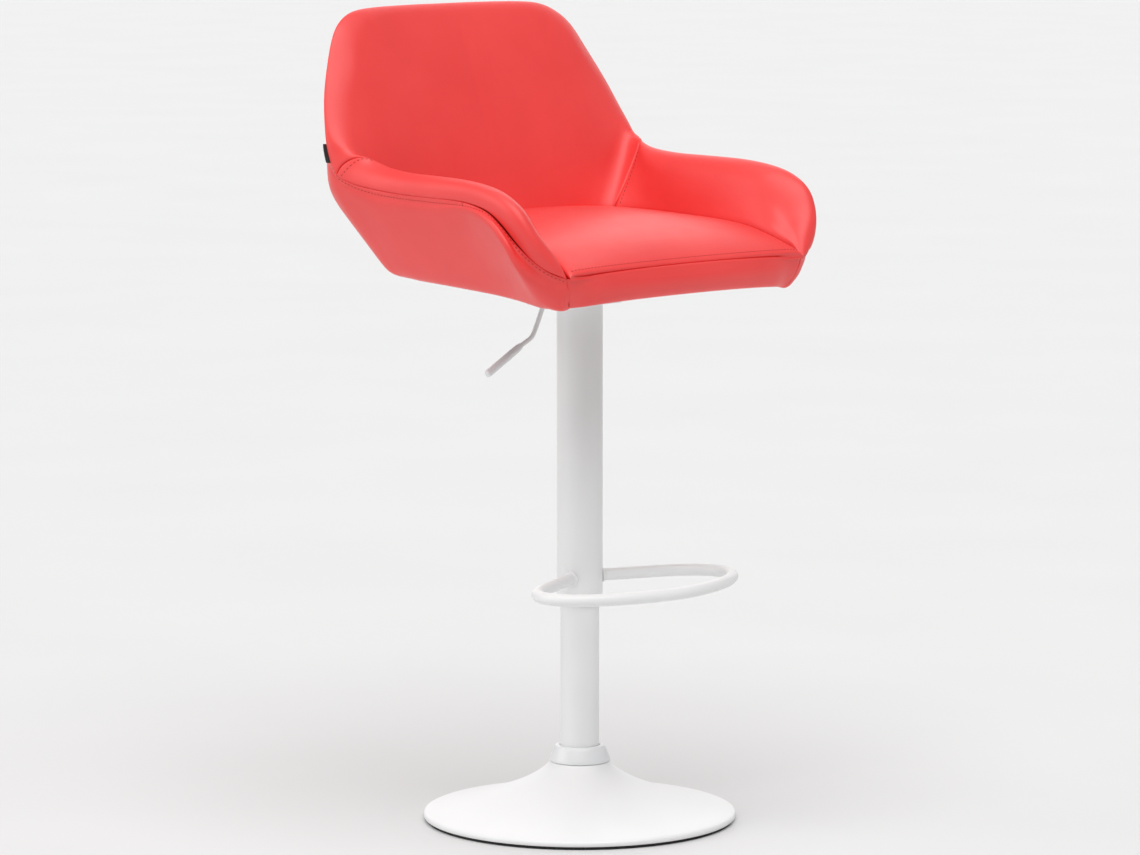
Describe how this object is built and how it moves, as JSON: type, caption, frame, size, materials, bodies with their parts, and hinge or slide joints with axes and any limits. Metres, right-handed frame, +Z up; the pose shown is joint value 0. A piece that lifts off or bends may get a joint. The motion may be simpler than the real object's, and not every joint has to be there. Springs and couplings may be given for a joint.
{
  "type": "adjustable swivel stool",
  "caption": "Height-adjustable swivel bar stool: upholstered bucket seat with low arms on a gas-spring column, with a looped footrest and a round trumpet base.",
  "frame": {"origin": "on the floor, under the middle of the stool's bounding box; the column's axis stands 21.5 mm in front of it, at x 0 and y -0.0215 m", "axes": "+Z is up, -Y is the way the seat faces, +X is the sitter's left; the lever is on the sitter's right, at -X"},
  "size_m": [0.548, 0.4526, 1.062],
  "materials": {
    "white_paint": "satin white powder coat",
    "white_plastic": "smooth moulded white plastic",
    "red_leather": "smooth coral-red imitation leather with a soft sheen",
    "black_rubber": "matt black rubber",
    "black_fabric": "plain woven black",
    "steel": "machined bare steel",
    "cast_iron": "rough cast iron",
    "plywood": "unfinished birch plywood",
    "nylon": "dark moulded nylon"
  },
  "bodies": {
    "base": {"base_shell": "white_paint", "rubber_ring": "black_rubber", "bottom_plate": "steel", "ballast_disc": "cast_iron", "base_hub": "steel", "base_collar": "white_plastic", "lower_tube": "white_paint", "guide_bush": "nylon", "lower_race": "steel"},
    "bearing_cage": {"ball_cage": "steel"},
    "gas_rod": {"upper_race": "steel", "piston_rod": "steel", "retaining_clip": "steel", "rubber_bumper": "black_rubber", "piston": "nylon", "piston_nut": "steel"},
    "seat": {"pressure_tube": "steel", "rod_guide": "nylon", "upper_tube": "white_paint", "column_liner": "white_plastic", "footrest_loop": "white_paint", "mechanism_plate": "white_paint", "mechanism_housing": "white_paint", "taper_socket": "steel", "lever_pin": "steel", "seat_bolt_1": "steel", "bolt_washer_1": "steel", "tee_nut_1": "steel", "seat_bolt_2": "steel", "bolt_washer_2": "steel", "tee_nut_2": "steel", "seat_bolt_3": "steel", "bolt_washer_3": "steel", "tee_nut_3": "steel", "seat_bolt_4": "steel", "bolt_washer_4": "steel", "tee_nut_4": "steel", "seat_board": "plywood", "dust_cover": "black_fabric", "back_board": "plywood", "backrest_pad": "red_leather", "side_tag": "black_fabric", "arm_pad_left": "red_leather", "arm_pad_right": "red_leather", "arm_board_left": "plywood", "arm_board_right": "plywood", "seat_cushion": "red_leather", "front_band": "red_leather"},
    "lever": {"lever_rod": "white_paint", "lever_grip": "white_plastic"},
    "valve_pin": {"release_pin": "steel"}
  },
  "joints": [
    {"name": "seat_swivel", "type": "hinge", "parent": "base", "child": "gas_rod", "pos_m": [0, -0.0215, 0.0257], "axis": [0, 0, 1], "continuous": true},
    {"name": "cage_turn", "type": "hinge", "parent": "base", "child": "bearing_cage", "pos_m": [0, -0.0215, 0.021], "axis": [0, 0, 1], "continuous": true},
    {"name": "height_slide", "type": "slide", "parent": "gas_rod", "child": "seat", "axis": [0, 0, 1], "range_m": [-0.14, 0.07]},
    {"name": "lever_lift", "type": "hinge", "parent": "seat", "child": "lever", "pos_m": [-0.038, -0.0215, 0.697], "axis": [0, 1, 0], "range_deg": [0, 4.9], "stiffness_Nm_per_rad": 4},
    {"name": "pin_press", "type": "slide", "parent": "seat", "child": "valve_pin", "axis": [0, 0, -1], "range_m": [0, 0.0035]}
  ],
  "couplings": [
    {"joint": "cage_turn", "follows": "seat_swivel", "ratio": 0.5},
    {"joint": "pin_press", "follows": "lever_lift", "m_per_rad": 0.038}
  ]
}
